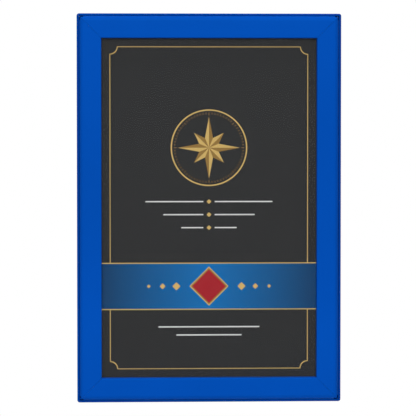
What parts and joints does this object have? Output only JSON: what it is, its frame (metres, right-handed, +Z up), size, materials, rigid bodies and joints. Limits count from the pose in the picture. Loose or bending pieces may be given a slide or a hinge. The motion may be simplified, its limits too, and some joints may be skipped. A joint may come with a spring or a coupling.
{
  "type": "snap frame",
  "caption": "Wall-mounted poster frame in blue aluminium: mitred base rails, sprung cover rails that swing open on every side, and a poster between a back panel and a clear sheet.",
  "frame": {"origin": "middle of the frame's back, on the wall plane, which is also the centre of the wall-screw pattern", "axes": "+X to the viewer's right, +Y into the wall, +Z up; the face looks along -Y"},
  "size_m": [0.3234, 0.015, 0.4758],
  "materials": {
    "blue_base": "satin",
    "blue_cover": "satin",
    "spring_steel": "satin",
    "zinc_steel": "satin",
    "black_steel": "satin",
    "white_styrene": "matte",
    "printed_paper": "satin",
    "clear_pvc": "gloss"
  },
  "bodies": {
    "frame": {"base_rail_bottom": "blue_base", "base_rail_left": "blue_base", "base_rail_top": "blue_base", "base_rail_right": "blue_base", "corner_key_bottom_left": "zinc_steel", "corner_key_bottom_right": "zinc_steel", "corner_key_top_left": "zinc_steel", "corner_key_top_right": "zinc_steel", "key_screws_bottom_left": "black_steel", "key_screws_bottom_right": "black_steel", "key_screws_top_left": "black_steel", "key_screws_top_right": "black_steel", "back_panel": "white_styrene", "poster": "printed_paper", "clear_sheet": "clear_pvc"},
    "cover_bottom": {"cover_rail_bottom": "blue_cover"},
    "springs_bottom": {"spring_bottom_1": "spring_steel", "spring_bottom_2": "spring_steel"},
    "cover_left": {"cover_rail_left": "blue_cover"},
    "springs_left": {"spring_left_1": "spring_steel", "spring_left_2": "spring_steel", "spring_left_3": "spring_steel"},
    "cover_top": {"cover_rail_top": "blue_cover"},
    "springs_top": {"spring_top_1": "spring_steel", "spring_top_2": "spring_steel"},
    "cover_right": {"cover_rail_right": "blue_cover"},
    "springs_right": {"spring_right_1": "spring_steel", "spring_right_2": "spring_steel", "spring_right_3": "spring_steel"}
  },
  "joints": [
    {"name": "open_bottom", "type": "hinge", "parent": "frame", "child": "cover_bottom", "pos_m": [0, -0.0091, -0.2292], "axis": [1, 0, 0], "range_deg": [0, 90], "deforming": ["spring_bottom_1", "spring_bottom_2"]},
    {"name": "open_left", "type": "hinge", "parent": "frame", "child": "cover_left", "pos_m": [-0.153, -0.0091, 0], "axis": [0, 0, -1], "range_deg": [0, 90], "deforming": ["spring_left_1", "spring_left_2", "spring_left_3"]},
    {"name": "open_top", "type": "hinge", "parent": "frame", "child": "cover_top", "pos_m": [0, -0.0091, 0.2292], "axis": [-1, 0, 0], "range_deg": [0, 90], "deforming": ["spring_top_1", "spring_top_2"]},
    {"name": "open_right", "type": "hinge", "parent": "frame", "child": "cover_right", "pos_m": [0.153, -0.0091, 0], "axis": [0, 0, 1], "range_deg": [0, 90], "deforming": ["spring_right_1", "spring_right_2", "spring_right_3"]},
    {"name": "flip_springs_bottom", "type": "hinge", "parent": "frame", "child": "springs_bottom", "pos_m": [0, -0.0054, -0.2179], "axis": [1, 0, 0], "range_deg": [-29, 2]},
    {"name": "flip_springs_left", "type": "hinge", "parent": "frame", "child": "springs_left", "pos_m": [-0.1417, -0.0054, 0], "axis": [0, 0, -1], "range_deg": [-29, 2]},
    {"name": "flip_springs_top", "type": "hinge", "parent": "frame", "child": "springs_top", "pos_m": [0, -0.0054, 0.2179], "axis": [-1, 0, 0], "range_deg": [-29, 2]},
    {"name": "flip_springs_right", "type": "hinge", "parent": "frame", "child": "springs_right", "pos_m": [0.1417, -0.0054, 0], "axis": [0, 0, 1], "range_deg": [-29, 2]}
  ],
  "couplings": [
    {"joint": "flip_springs_bottom", "follows": "open_bottom", "ratio": -0.30792},
    {"joint": "flip_springs_left", "follows": "open_left", "ratio": -0.30792},
    {"joint": "flip_springs_top", "follows": "open_top", "ratio": -0.30792},
    {"joint": "flip_springs_right", "follows": "open_right", "ratio": -0.30792}
  ]
}
